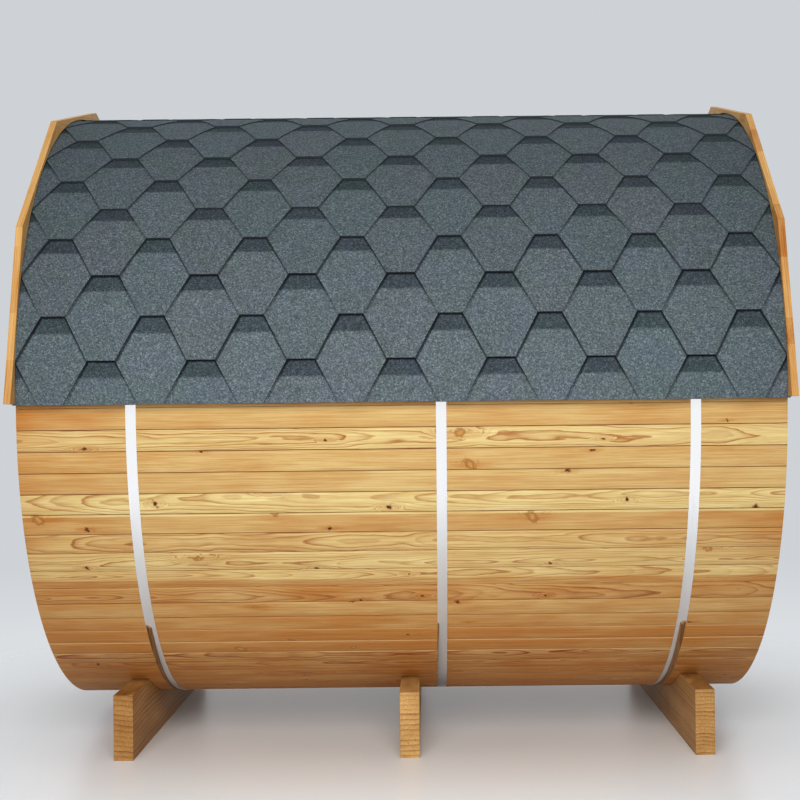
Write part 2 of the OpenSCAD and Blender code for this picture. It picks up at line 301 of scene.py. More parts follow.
def ease_edges(bm, edges, ease):
    """Rounds edges with two narrow faces each."""
    bmesh.ops.bevel(bm, geom=edges, offset=ease, offset_type="OFFSET", segments=2, profile=0.5,
                    affect="EDGES", material=-1)


def ease_long_edges(bm, width, ease):
    """Rounds the two long edges of a flat board's show face."""
    ends = {v for v in bm.verts if abs(abs(v.co.y) - width / 2) < TINY and v.co.z > -TINY}
    ease_edges(bm, [e for e in bm.edges if ends.issuperset(e.verts)], ease)


def flat_board(length, width, thickness, ease, across=4):
    """A board with its show face up at z = 0, cut across its width so that it can be bent."""
    bm = bmesh.new()
    bmesh.ops.create_cube(bm, size=1.0)
    bmesh.ops.scale(bm, vec=(length, width, thickness), verts=bm.verts)
    bmesh.ops.translate(bm, vec=(0, 0, -thickness / 2), verts=bm.verts)
    rungs = [e for e in bm.edges if abs(e.verts[0].co.y - e.verts[1].co.y) > width / 2]
    bmesh.ops.subdivide_edges(bm, edges=rungs, cuts=across - 1, use_grid_fill=True)
    ease_long_edges(bm, width, ease)
    return bm


def random_pith(figure):
    """Where the heart of the trunk ran: across the board, below it, and how fast it comes closer."""
    climb = rng.choice((-1, 1)) * rng.uniform(12, 34) * MM
    if figure > LIVELY:
        return rng.uniform(-18, 18) * MM, rng.uniform(14, 50) * MM, climb
    return rng.choice((-1, 1)) * rng.uniform(50, 140) * MM, rng.uniform(5, 40) * MM, climb


def stamp(bm, tone, pith, figure=0.4, joints=(1.0, 1.0), narrow=1.0):
    """Writes on each vertex its place in the trunk, its tone and figure, and how deep in a joint it is."""
    grain = bm.verts.layers.float_vector.new("grain")
    tones = bm.verts.layers.float.new("tone")
    figures = bm.verts.layers.float.new("figure")
    groove = bm.verts.layers.float.new("groove")
    shift, pace = rng.uniform(0, 30), rng.uniform(0.75, 1.4) * narrow
    across, below, climb = pith
    for v in bm.verts:
        x, y, z = v.co
        v[grain] = (x + shift, (y - across) * pace, (z + below + climb * x) * pace)
        v[tones] = tone
        v[figures] = figure
        v[groove] = joints[y > 0] * min(1, -z / JOINT_DEPTH) if 0 < -z < GROOVE_FLOOR else 0


trial = flat_board(1.0, 100 * MM, 20 * MM, 2 * MM)
print("a trial board has", len(trial.faces), "faces")
trial.free()

# %% [markdown]
# ## From boards to pieces
# A bent board keeps its width on the outside and narrows inside, which is the bevel that a
# cooper planes on a stave, so bending stands for planing. The boards of one CAD node are
# joined in one mesh. Its faces are turned outwards, it gets its finish, and it rides on the
# sauna's one body in place of the node. On flat work only the eased edges are shaded smooth,
# because smooth shading would make a flat face look pillowed.

# %% From boards to pieces
SHARP_ANGLE = math.radians(35)
EASED_W = 1.5 * MM


def round_barrel(co, radius, angle):
    """Bends a point of a flat board round the barrel: Y becomes an angle and Z a radius."""
    r = radius + co.z
    a = angle + co.y / radius
    return Vector((co.x, r * math.cos(a), AXIS_Z + r * math.sin(a)))


def join(parts):
    """One mesh from several, each of them freed."""
    whole = bmesh.new()
    for part in parts:
        mesh = bpy.data.meshes.new("part")
        part.to_mesh(mesh)
        part.free()
        whole.from_mesh(mesh)
        bpy.data.meshes.remove(mesh)
    return whole


def finish_piece(name, bm, materials, slot, *nodes, flat=False):
    """Makes a piece of the mesh in place of CAD nodes. On flat work only narrow faces are smooth."""
    bmesh.ops.recalc_face_normals(bm, faces=bm.faces)
    if bm.calc_volume(signed=True) < 0:
        bmesh.ops.reverse_faces(bm, faces=bm.faces)
    widths = [f.calc_area() / max(e.calc_length() for e in f.edges) for f in bm.faces]
    mesh = bpy.data.meshes.new(name)
    bm.to_mesh(mesh)
    bm.free()
    for material in materials:
        mesh.materials.append(material)
    mesh.set_sharp_from_angle(angle=SHARP_ANGLE)
    mesh.polygons.foreach_set("use_smooth", [not flat or width < EASED_W for width in widths])
    piece = bpy.data.objects.new(name, mesh)
    bpy.context.collection.objects.link(piece)
    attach(piece, "root")
    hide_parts(*nodes)


crown = round_barrel(Vector((0, 0, 0)), BARREL_R, math.pi / 2)
print("top of the barrel:", round(crown.z, 3), "m")

# %% [markdown]
# ## Staves
# The staves are narrow boards milled to the round of the barrel. A grooved cylinder would
# have their outline, but only separate boards have a grain, a shade and joints of their own.
# The list of tones, where more is darker, runs from the eave on the seen side down to the
# keel, and the far side mirrors it. Boards from one trunk stay together in the stack, so
# neighbours share a shade. The dark tones towards the keel are partly the boards' own colour
# and partly painted shade, where the barrel turns away from the lamps. The stave under each
# eave has a set tone, painted shade in the strip that the roof's edge shadows. Figure tells
# plain quarter-sawn staves from lively flat-sawn ones, and a few have wider rings. Some were
# cut where the sapwood ends, so the tone steps at a share of their width. Joints are less
# dirty on dark staves, and on a few, with a value below zero, a painted highlight shows
# where light catches the eased edge. The staves are darker towards both sawn ends, most the
# upper staves.

# %% Staves
PANEL_COUNT = 14
STAVE_EASE = 1.9 * MM
# Tones down from the eave; the dark ones towards the keel are partly painted shade
STAVE_TONES = [0.54, 0.1, 0.5, 0.44, -0.01, 0.57, 0.38, 0.16, 0.28, 0.74, 0.68, 0.8, 1.0,
               0.95, 0.8, 0.9, 1.0] + [0.96] * 8
STAVE_FIGURES = [0.1, 1.0, 0.1, 0.25, 0.8, 0.2, 0.9, 1.0, 0.8, 0.9, 0.15, 0.25, 0.15, 0.2, 1.4, 0.8]
SAP_EDGES = {5: (0.11, 0.0), 8: (0.58, 0.77)}
SAP_BLEND = 1 * MM
# Joint dirt by stave below the eave; a value below zero is a painted highlight instead
JOINT_DIRT_AND_HIGHLIGHT = {0: 0.2, 7: 0.45, 8: 0.4, 9: 0.1, 12: -0.5, 13: -1.0, 14: -1.0, 15: 0.2, 16: 0.1, 17: 0.1,
              18: 0.1}
WIDE_RINGS = {9: 0.7, 14: 0.45, 15: 0.5}
DARK_IS_CLEANER = 0.45
EAVE_PAINTED_SHADE = 0.6
# How much darker a stave grows towards its left and right ends, by how far it lies below the eave
END_DARK_REACH = 0.4
END_DARK_STEPS = ((5, (0.4, 0.0)), (8, (0.25, 0.3)), (STAVE_COUNT, (0.1, 0.0)))
ON_PLANE = 1e-7


def cut(bm, place, normal, **cleared):
    """Cuts a mesh with a plane, and clears one side of it if asked to."""
    bmesh.ops.bisect_plane(bm, geom=bm.verts[:] + bm.edges[:] + bm.faces[:], dist=ON_PLANE,
                           plane_co=place, plane_no=normal, **cleared)


def stave_look(below):
    """Tone and figure of a stave counted down from the eave: those under the roof are mixed."""
    if below < 0:
        return rng.uniform(0.1, 0.6), rng.random()
    if below >= len(STAVE_TONES):
        below = STAVE_COUNT // 2 - 1 - below
    return STAVE_TONES[below], STAVE_FIGURES[below] if below < len(STAVE_FIGURES) else rng.random()


def stave(index):
    """A stave counted round from the back, bent to its place."""
    width = BARREL_R * STAVE_ANGLE - BOARD_GAP
    board = flat_board(2 * BARREL_END, width, STAVE_T, STAVE_EASE)
    below = index - STAVE_COUNT // 2
    tone, figure = stave_look(below)
    joints = [JOINT_DIRT_AND_HIGHLIGHT.get(j, 1.0 - DARK_IS_CLEANER * tone) for j in (below, below + 1)]
    # The stave under each eave gets a set tone: painted shade for the strip that the roof's edge shadows
    if index in (0, STAVE_COUNT // 2 - 1):
        tone, joints = EAVE_PAINTED_SHADE, NO_JOINTS
    end_dark = next(shades for limit, shades in END_DARK_STEPS if below < limit)
    for x in (END_DARK_REACH - BARREL_END, BARREL_END - END_DARK_REACH):
        cut(board, (x, 0, 0), (1, 0, 0))
    sap_share, edge_tone = SAP_EDGES.get(below, (0, 0))
    edge_y = (sap_share - 0.5) * width
    if sap_share:
        for y in (edge_y, edge_y + SAP_BLEND):
            cut(board, (0, y, 0), (0, 1, 0))
    stamp(board, tone, random_pith(figure), figure, joints, WIDE_RINGS.get(below, 1.0))
    tones = board.verts.layers.float["tone"]
    for v in board.verts:
        if sap_share and (v.co.y > edge_y + SAP_BLEND / 2) == (edge_tone > tone):
            v[tones] = edge_tone
        v[tones] += end_dark[v.co.x > 0] * max(0, 1 - (BARREL_END - abs(v.co.x)) / END_DARK_REACH)
        v.co = round_barrel(v.co, BARREL_R, (index + 0.5) * STAVE_ANGLE)
    return board


staves_a_panel = STAVE_COUNT // PANEL_COUNT
for panel in range(PANEL_COUNT):
    boards = [stave(panel * staves_a_panel + i) for i in range(staves_a_panel)]
    node = f"staves_{panel + 1:02d}"
    finish_piece(f"stave_panel_{panel + 1:02d}", join(boards), [stave_pine], "stave_wood", node)
print("staves:", STAVE_COUNT)

# %% [markdown]
# ## Hoops
# Each hoop is a strap of bright stainless strip. A short tube would have sharp corners, so a
# small rectangle with rounded corners is spun round the barrel instead, in enough steps that
# its mirror finish shows no flats. Rolled strip keeps fine lines from the rolls along its
# length, so its gloss is stretched a little.

# %% Hoops
HOOP_T = 1.5 * MM
HOOP_CORNER = 0.5 * MM
HOOP_STEPS = 196
MERGE = 0.01 * MM


def stainless_strip():
    """Bright rolled stainless: a near mirror with faint lines along the strip."""
    material, tree, shader = new_material("bright_stainless_strip")
    place = add(tree, "TexCoord").outputs["Object"]
    # Roll lines are far under a millimetre: they are drawn at 2 mm so that they show
    lines = add(tree, "Mapping", {"Vector": place, "Scale": (1 / (2 * MM), 3, 3)})
    streak = add(tree, "TexNoise", {"Vector": lines, "Scale": 1.0, "Detail": 2.0})
    gloss = add(tree, "MapRange", {"Value": streak, "To Min": 0.03, "To Max": 0.07})
    tint = add(tree, "Mix", {"Factor": streak, FIRST: linear("#D9D9DA"), SECOND: linear("#E0E0E0")},
               data_type="RGBA")
    feed(tree, shader, {"Base Color": tint, "Roughness": gloss, "Metallic": 1.0})
    return material


def hoop(side):
    """A strap round the barrel: a rounded rectangle, spun."""
    low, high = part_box(f"hoop_{side}")
    bm = bmesh.new()
    bmesh.ops.create_grid(bm, x_segments=1, y_segments=1, size=0.5)
    bmesh.ops.scale(bm, vec=(high.x - low.x, HOOP_T, 1), verts=bm.verts)
    bmesh.ops.bevel(bm, geom=bm.verts, offset=HOOP_CORNER, offset_type="OFFSET", segments=2,
                    profile=0.5, affect="VERTICES", material=-1)
    bmesh.ops.translate(bm, vec=((low.x + high.x) / 2, BARREL_R + SEAT_FIT + HOOP_T / 2, AXIS_Z),
                        verts=bm.verts)
    outline = bm.edges[:]
    bmesh.ops.delete(bm, geom=bm.faces[:], context="FACES_ONLY")
    bmesh.ops.spin(bm, geom=outline, cent=(0, 0, AXIS_Z), axis=(1, 0, 0), angle=math.tau,
                   steps=HOOP_STEPS, use_merge=True)
    bmesh.ops.remove_doubles(bm, verts=bm.verts, dist=MERGE)
    finish_piece(f"hoop_strap_{side}", bm, [strip_steel], "hoop_steel", f"hoop_{side}")


strip_steel = stainless_strip()
for side in ("left", "middle", "right"):
    hoop(side)
print("hoops: 3 of", HOOP_STEPS, "steps")

# %% [markdown]
# ## Cradles
# A cradle is a heavy plank on edge with the round of the barrel sawn out of its top. A
# boolean could saw it, but its long thin faces would be hard to ease. A grid has even
# columns for the curve: its top row is lowered to the saw line, and the sheet is then
# extruded to the plank's thickness. The heart of the trunk lies far below the plank, so its
# ends show nearly straight year rings.

# %% Cradles
CRADLE_COLUMNS = 64
CRADLE_FLATS = CRADLE_COLUMNS // 4
CRADLE_EASE = 1.6 * MM
CRADLE_TONES = {"left": 0.8, "middle": 0.35, "right": 0.65}


def extrude(bm, faces, height):
    """Extrudes faces and moves the new ones along Z."""
    lifted = bmesh.ops.extrude_face_region(bm, geom=faces)["geom"]
    verts = [g for g in lifted if isinstance(g, bmesh.types.BMVert)]
    bmesh.ops.translate(bm, vec=(0, 0, height), verts=verts)


def ease_sharp_edges(bm, degrees, ease):
    """Rounds the edges where faces meet at more than an angle."""
    bmesh.ops.recalc_face_normals(bm, faces=bm.faces)
    ease_edges(bm, [e for e in bm.edges if e.calc_face_angle(0) > math.radians(degrees)], ease)


def cradle(side):
    """A plank on edge: a quarter of its columns lies on each flat end, the rest on the seat."""
    low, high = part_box(f"cradle_{side}")
    half, thick = (high.y - low.y) / 2, high.x - low.x
    seat_r = BARREL_R + SEAT_FIT
    chord = math.sqrt(seat_r ** 2 - (AXIS_Z - high.z) ** 2)
    seat_columns = CRADLE_COLUMNS - 2 * CRADLE_FLATS
    bm = bmesh.new()
    bmesh.ops.create_grid(bm, x_segments=CRADLE_COLUMNS, y_segments=1, size=0.5)
    for v in bm.verts:
        column = round((v.co.x + 0.5) * CRADLE_COLUMNS)
        inside = min(max(column - CRADLE_FLATS, 0), seat_columns) / seat_columns * 2 - 1
        outside = min(column, CRADLE_FLATS, CRADLE_COLUMNS - column) / CRADLE_FLATS
        y = inside * chord
        if abs(inside) == 1:
            y = math.copysign(half + outside * (chord - half), inside)
        saw = AXIS_Z - math.sqrt(seat_r ** 2 - min(abs(y), chord) ** 2)
        v.co = (y, saw if v.co.y > 0 else 0, 0)
    extrude(bm, bm.faces[:], -thick)
    ease_sharp_edges(bm, degrees=40, ease=CRADLE_EASE)
    pith = (-rng.uniform(350, 450) * MM, thick / 2, 8 * MM)
    stamp(bm, CRADLE_TONES[side], pith, 1.0, NO_JOINTS)
    for v in bm.verts:
        v.co = (high.x + v.co.z, v.co.x, v.co.y)
    finish_piece(f"cradle_plank_{side}", bm, [cradle_pine], "cradle_wood", f"cradle_{side}", flat=True)


for side in ("left", "middle", "right"):
    cradle(side)
print("cradles: 3")

# %% [markdown]
# ## Roof boards
# Thin boards lie on the hoops under the shingles. They show only along the eave and from
# below it, where one bent sheet would do. They are made with the same tools as the staves,
# because separate boards show their joints from below.

# %% Roof boards
ROOF_BOARDS = 18
DECK_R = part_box("roof_boards_back")[1].y
DECK_T = 24 * MM
DECK_EASE = 1 * MM
EAVE_ANGLE = math.asin((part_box("shingles_back_lower")[0].z - AXIS_Z) / ROOF_R)


def roof_board(index, front):
    """A board counted up from the eave on one side of the roof."""
    step = (math.pi / 2 - EAVE_ANGLE) / ROOF_BOARDS
    board = flat_board(2 * BARREL_END, DECK_R * step - BOARD_GAP, DECK_T, DECK_EASE, across=3)
    stamp(board, rng.uniform(0.1, 0.7), random_pith(rng.random()))
    middle = EAVE_ANGLE + (index + 0.5) * step
    for v in board.verts:
        v.co = round_barrel(v.co, DECK_R, math.pi - middle if front else middle)
    return board


for side in ("front", "back"):
    boards = [roof_board(i, side == "front") for i in range(ROOF_BOARDS)]
    finish_piece(f"roof_deck_{side}", join(boards), [sawn_pine], "roof_board_wood", f"roof_boards_{side}")
print("roof boards:", 2 * ROOF_BOARDS)

# %% [markdown]
# ## Painted shadow on the shingles
# Each shingle has tabs, and the tab above shades the sheet along its foot and along its two
# slanted sides. That shadow is painted: thin dark strips could stand for it, but a mask
# needs no geometry. The tab attribute holds a point's place on its own tab, in metres, and
# its luck, with one more on every second course, where the feet are wider. The course
# attribute tells how dark a course is, which is partly painted shade, how dark the painted
# shadow at its head is and how fine.

# %% Painted shadow on the shingles
COURSE_H = 125 * MM
TAB_PITCH = 283.5 * MM
TAB_FEET = (70 * MM, 80 * MM)
SIDE_RUN = (TAB_PITCH - sum(TAB_FEET)) / 2
SIDE_L = math.hypot(SIDE_RUN, COURSE_H)
# Widths of the painted shadow under the foot of the tab above and beside its two sides
TAB_SHADOW_W = (10 * MM, 12 * MM, 9.5 * MM)
TAB_SHADOW_BLUR = 4 * MM


def painted_tab_shadow(tree, place, tab, course, head):
    """A mask of painted shadow, from the distances to the foot of the tab above and to its two sides."""
    ragged = add(tree, "TexNoise", {"Vector": place, "Scale": 1 / (8 * MM), "Detail": 2.0})
    rough = add(tree, "Math", {0: ragged, 1: 5 * MM}, operation="MULTIPLY")
    odd = add(tree, "Math", {0: tab["Z"]}, operation="FLOOR")
    narrow, wide = (foot / 2 * COURSE_H / SIDE_L for foot in TAB_FEET)
    corner = add(tree, "MapRange", {"Value": odd, "To Min": narrow, "To Max": wide})
    loss = add(tree, "MapRange", {"Value": odd, "To Min": 0.25, "To Max": 0.72})
    down = add(tree, "Math", {0: head, 1: loss}, operation="MULTIPLY")
    edges = [(head, course["Y"])]
    for sign, haste in ((1, 1.0), (-1, 1.1)):
        reach = add(tree, "Math", {0: tab["X"], 1: sign * COURSE_H / SIDE_L, 2: corner},
                    operation="MULTIPLY_ADD")
        inside = add(tree, "Math", {0: head, 1: SIDE_RUN / SIDE_L, 2: reach}, operation="MULTIPLY_ADD")
        left = add(tree, "MapRange", {"Value": down, "From Max": COURSE_H / haste, "To Min": 1.0,
                                      "To Max": 0.0})
        edges.append((inside, add(tree, "Math", {0: left, 1: course["Z"]}, operation="DIVIDE")))
    lines = []
    for (distance, dark), width in zip(edges, TAB_SHADOW_W):
        blurred = add(tree, "Math", {0: distance, 1: course["Z"], 2: rough}, operation="MULTIPLY_ADD")
        lines.append(add(tree, "MapRange", {"Value": blurred, "From Min": width, "To Max": dark,
                                            "From Max": width - TAB_SHADOW_BLUR}))
    sides = add(tree, "Math", {0: lines[1], 1: lines[2]}, operation="MAXIMUM")
    return add(tree, "Math", {0: lines[0], 1: sides}, operation="MAXIMUM")


print("tab sides:", round(SIDE_L, 3), "m long")

# %% [markdown]
# ## Shingle finish
# Bitumen shingles are felt sheets faced with crushed slate. The granules are a millimetre or
# two across, in several greys with a blue cast, and they hide all gloss. Makers scatter
# darker granules along the top of each tab, so that the tab above seems to cast a deeper
# shadow. Granules of real geometry would be millions of faces, so a Voronoi pattern stands
# for them. The colour is built up in layers, as on the wood: speckles, worn patches, the
# batch of the tab, the painted shade of its course, that dark band, and the painted shadow
# of the tab above.

# %% Shingle finish
BAND_H = 50 * MM


def slate_granules():
    """Bitumen felt faced with slate granules: fully matt, speckled blue-grey."""
    material, tree, shader = new_material("slate_granule_shingle")
    place = add(tree, "TexCoord").outputs["Object"]
    marks = [add(tree, "Attribute", attribute_name=name).outputs["Vector"] for name in ("tab", "course")]
    tab, course = (add(tree, "SeparateXYZ", {0: mark}).outputs for mark in marks)
    # Granules are 1 to 2 mm: they are drawn at 3.2 mm so that they show in the render
    grit = add(tree, "TexVoronoi", {"Vector": place, "Scale": 1 / (3.2 * MM)})
    grey = add(tree, "SeparateColor", {"Color": grit.outputs["Color"]})
    speckle = add(tree, "ValToRGB", {"Fac": grey.outputs["Red"]})
    stops = speckle.color_ramp.elements
    stops[0].color, stops[1].color = linear("#464F53"), linear("#828B8E")
    stops.new(0.4).color = linear("#5C6568")
    stops.new(0.75).color = linear("#666F72")
    patch = add(tree, "TexNoise", {"Vector": place, "Scale": 1 / (90 * MM), "Detail": 3.0})
    worn = add(tree, "MapRange", {"Value": patch, "From Min": 0.35, "From Max": 0.65})
    luck = add(tree, "Math", {0: tab["Z"]}, operation="FRACT")
    cast, batch, dark_batch = (
        add(tree, "Mix", {"Factor": share, FIRST: linear(first), SECOND: linear(second)}, data_type="RGBA")
        for share, first, second in ((worn, "#F0F5F2", "#F6F5FD"), (luck, "#F4FAFA", "#FFFCFC"),
                                     (luck, "#B4BBBA", "#AEB0B9")))
    head = add(tree, "Math", {0: 2 * COURSE_H, 1: tab["Y"]}, operation="SUBTRACT")
    band = add(tree, "MapRange", {"Value": head, "From Min": BAND_H + 3 * MM, "From Max": BAND_H - 4 * MM})
    dark = add(tree, "Mix", {"Factor": band, FIRST: WHITE, SECOND: dark_batch}, data_type="RGBA")
    # Painted shadow of the tab above, a mask that mixes in near black
    tab_shadow = painted_tab_shadow(tree, place, tab, course, head)
    batched = speckle
    for layer in (cast, batch):
        batched = add(tree, "Mix", {"Factor": 1.0, FIRST: batched, SECOND: layer}, data_type="RGBA",
                      blend_type="MULTIPLY")
    # Scaled by the course: its painted shade, and darker towards the roof's ends
    colour = add(tree, "VectorMath", {0: batched, "Scale": course["X"]}, operation="SCALE")
    for share, layer, blend in ((1.0, dark, "MULTIPLY"), (tab_shadow, linear("#12161A"), "MIX")):
        colour = add(tree, "Mix", {"Factor": share, FIRST: colour, SECOND: layer}, data_type="RGBA",
                     blend_type=blend)
    bump = add(tree, "Bump", {"Height": grit, "Distance": 1 * MM, "Strength": 0.5})
    feed(tree, shader, {"Base Color": colour, "Normal": bump, "Roughness": 0.92, "Specular IOR Level": 0.1})
    return material


def cut_bitumen():
    """The cut edge and underside of a shingle: black felt, dull, a little uneven."""
    material, tree, shader = new_material("cut_bitumen_edge")
    place = add(tree, "TexCoord").outputs["Object"]
    mottle = add(tree, "TexNoise", {"Vector": place, "Scale": 1 / (6 * MM), "Detail": 2.0})
    tint = add(tree, "Mix", {"Factor": mottle, FIRST: linear("#1E2225"), SECOND: linear("#353B40")},
               data_type="RGBA")
    feed(tree, shader, {"Base Color": tint, "Roughness": 0.85})
    return material


granules = slate_granules()
bitumen = cut_bitumen()
print("shingle finish:", granules.name, bitumen.name)

# %% [markdown]
# ## Shingle sheets
# A shingle is a sheet two courses high: a plain strip at the top, nailed down and covered
# by the next course, and tabs below it with notches between them. Each tab is a grid whose
# lower rows taper to the tab's foot. The cells beside them are deleted, which leaves the
# notch. The sheet is cut at the roof's ends and gets its thickness. Cutting the notches out
# of a whole sheet with booleans would give the same shape with less even faces.

# %% Shingle sheets
SHINGLE_T = 3 * MM
TAB_ROWS = 4
TAB_COLUMNS = 6
STRIP_GAP = 0.1 * MM


def tab_sheet(centre, foot_width, root_width):
    """One tab and the strip above it, flat: X along the roof, Y up the slope from the tab's foot."""
    half_tab = (TAB_PITCH - root_width) / 2
    bm = bmesh.new()
    bmesh.ops.create_grid(bm, x_segments=TAB_COLUMNS, y_segments=2 * TAB_ROWS, size=0.5)
    for v in bm.verts:
        column = round((v.co.x + 0.5) * TAB_COLUMNS)
        row = round((v.co.y + 0.5) * 2 * TAB_ROWS)
        inside = (column - 1) / (TAB_COLUMNS - 2) * 2 - 1
        x = inside * half_tab if abs(inside) <= 1 else math.copysign(TAB_PITCH / 2 - STRIP_GAP, inside)
        if row < TAB_ROWS and abs(inside) <= 1:
            x = inside * (foot_width / 2 + (half_tab - foot_width / 2) * row / TAB_ROWS)
        v.co = (x, row / TAB_ROWS * COURSE_H, 0)
    notch = [f for f in bm.faces if f.calc_center_median().y < COURSE_H and
             any(abs(v.co.x) > half_tab + STRIP_GAP for v in f.verts)]
    bmesh.ops.delete(bm, geom=notch, context="FACES")
    for end in (-BARREL_END, BARREL_END):
        cut(bm, (end - centre, 0, 0), (math.copysign(1, end), 0, 0), clear_outer=True)
    return bm


def thicken(bm, thickness):
    """Extrudes a sheet upwards. The new faces are its top, and all others show cut bitumen."""
    extrude(bm, bm.faces[:], thickness)
    for face in bm.faces:
        face.material_index = 0 if all(v.co.z > thickness / 2 for v in face.verts) else 1


trial = tab_sheet(0, *TAB_FEET)
print("a tab has", len(trial.faces), "faces before it gets its thickness")
trial.free()

# %% [markdown]
# ## Laying the shingles
# A roofer works up from the eave. First comes a plain starter strip, then each course covers
# the head of the one below, half a tab further on. A sheet is bent so that its head lies on
# the boards and its foot on the course below. Hand-laid courses are never quite level, so
# each foot lies a little off its line, in degrees round the barrel. Loose feet lift by less
# than a millimetre, and the roof is darker towards its ends.

# %% Laying the shingles
LAP = SHINGLE_T + SEAT_FIT
COURSE_ANGLE = COURSE_H / ROOF_R
SHEET_MID_R = ROOF_R - LAP - SHINGLE_T
SHEET_SHIFT = LAP / math.sin(COURSE_ANGLE)
COURSE_COUNT = 12
LAID_OFF = {0: -0.03, 2: 0.35, 3: 0.5, 4: 0.5, 5: -0.15, 6: -0.13, 7: -0.3, 9: 0.9, 10: 1.4, 11: 2.2}
FEET = {k: EAVE_ANGLE + k * COURSE_ANGLE + math.radians(LAID_OFF.get(k, 0))
        for k in range(-1, COURSE_COUNT + 3)}
# Painted shade for each course: the courses in the middle of the roof are painted darker
COURSE_PAINTED_SHADES = [1.0, 0.92, 0.87, 0.79, 0.8, 0.76, 0.74, 0.79, 0.83, 0.88, 0.92, 0.94]
# How dark the painted shadow is under the feet of each course
FOOT_SHADOW = [1.0, 1.0, 0.95, 1.0, 0.9, 0.3, 0.65, 0.6, 0.35, 0.2, 0.4, 0.4]
FINER_A_COURSE = 0.14
LOOSE_COURSES = 9
# The roof is darker towards its ends, from this distance out from the middle
ROOF_END_DARK_FROM = 0.8
ROOF_END_DARK = 0.13


def lay_tab(k, centre, front):
    """Bends a tab of course k on to its side of the roof. Course -1 is the plain starter strip."""
    bm = tab_sheet(centre, TAB_FEET[k % 2], TAB_FEET[(k + 1) % 2])
    if k < 0:
        tabs = [f for f in bm.faces if f.calc_center_median().y < COURSE_H]
        bmesh.ops.delete(bm, geom=tabs, context="FACES")
    if not bm.faces:
        return bm
    thicken(bm, SHINGLE_T)
    place = bm.verts.layers.float_vector.new("tab")
    course_shades = bm.verts.layers.float_vector.new("course")
    tone, dark = COURSE_PAINTED_SHADES[max(k, 0)], FOOT_SHADOW[min(k + 2, COURSE_COUNT - 1)]
    fineness = 1 + FINER_A_COURSE * max(k - 1, 0)
    luck = rng.uniform(0.01, 0.99) + k % 2
    lift = rng.uniform(0.0, 0.5) * MM if k < LOOSE_COURSES else 0
    slip = rng.uniform(-0.8, 0.8) * MM
    for v in bm.verts:
        x, y, z = v.co
        toward_end = max(0, abs(centre + x) - ROOF_END_DARK_FROM) / (BARREL_END - ROOF_END_DARK_FROM)
        v[place] = (x, y, luck)
        v[course_shades] = (tone * (1 - ROOF_END_DARK * toward_end), dark, fineness)
        loose = max(0, 1 - y / COURSE_H)
        climb = y / COURSE_H * COURSE_ANGLE - COURSE_ANGLE
        r = SHEET_MID_R - SHEET_SHIFT * math.sin(climb) + z + lift * loose
        row = min(int(y / COURSE_H), 1)
        a = FEET[k + row] + (FEET[k + row + 1] - FEET[k + row]) * (y / COURSE_H - row)
        a = min(a, math.pi / 2)
        at = max(-BARREL_END, min(BARREL_END, centre + x + slip * loose))
        v.co = (at, (-1 if front else 1) * r * math.cos(a), AXIS_Z + r * math.sin(a))
    return bm


def lay_course(k, front):
    """The tabs of one course, from end to end of the roof."""
    first = TAB_PITCH / 2 if k % 2 == 0 else 0
    count = math.ceil(BARREL_END / TAB_PITCH) + 1
    centres = [first + i * TAB_PITCH for i in range(-count, count + 1)]
    return [lay_tab(k, x, front) for x in centres if abs(x) < BARREL_END + TAB_PITCH / 2]


third = COURSE_COUNT // 3
for side in ("front", "back"):
    for part, name in enumerate(("lower", "middle", "upper")):
        first_course = part * third if part else -1
        tabs = [t for k in range(first_course, (part + 1) * third) for t in lay_course(k, side == "front")]
        finish_piece(f"shingle_courses_{side}_{name}", join(tabs), [granules, bitumen], "shingle_bitumen",
                     f"shingles_{side}_{name}")
print("shingle courses:", 2 * COURSE_COUNT, "and two starter strips")

# %% [markdown]
# ## Ridge strip
# A strip of the same felt is bent over the ridge, over the heads of both top courses. It
# could be spun like the hoops, but a flat grid that is thickened and then bent, like a
# board, keeps the granules on its top and the cut felt on its edges. All of it counts as the
# middle of a clean tab, so it has no dark band, no painted shade and no painted shadow.

# %% Ridge strip
RIDGE_CELLS = 8
PLAIN_TAB = (0, COURSE_H, 0.5)
PLAIN_COURSE = (1, 0, 1)
ridge_foot = EAVE_ANGLE + COURSE_COUNT * COURSE_ANGLE
ridge_half = (math.pi / 2 - ridge_foot) * ROOF_R
strip = bmesh.new()
bmesh.ops.create_grid(strip, x_segments=RIDGE_CELLS, y_segments=RIDGE_CELLS, size=1.0)
bmesh.ops.scale(strip, vec=(BARREL_END, ridge_half, 1), verts=strip.verts)
thicken(strip, SHINGLE_T)
bmesh.ops.translate(strip, vec=(0, 0, -SHINGLE_T), verts=strip.verts)
strip_place = strip.verts.layers.float_vector.new("tab")
strip_course_shades = strip.verts.layers.float_vector.new("course")
for v in strip.verts:
    v[strip_place] = PLAIN_TAB
    v[strip_course_shades] = PLAIN_COURSE
    v.co = round_barrel(v.co, ROOF_R, math.pi / 2)
finish_piece("ridge_felt", strip, [granules, bitumen], "shingle_bitumen", "ridge_strip")
print("ridge strip:", round(2 * ridge_half, 3), "m wide")

# %% [markdown]
# ## End boards
# Six boards close each end of the roof. They are straight outside and sawn to the round of
# the barrel inside, and they meet in mitres. Booleans could cut them, but a fan of columns
# from a fixed centre draws a board's face in two even rows. Both rows are extruded to the lip
# over the end of the roof, and the outer row is extruded back once more, which makes the hook
# over the shingles. The boards are glued from short lengths end to end, so their tone steps
# where two lengths meet.

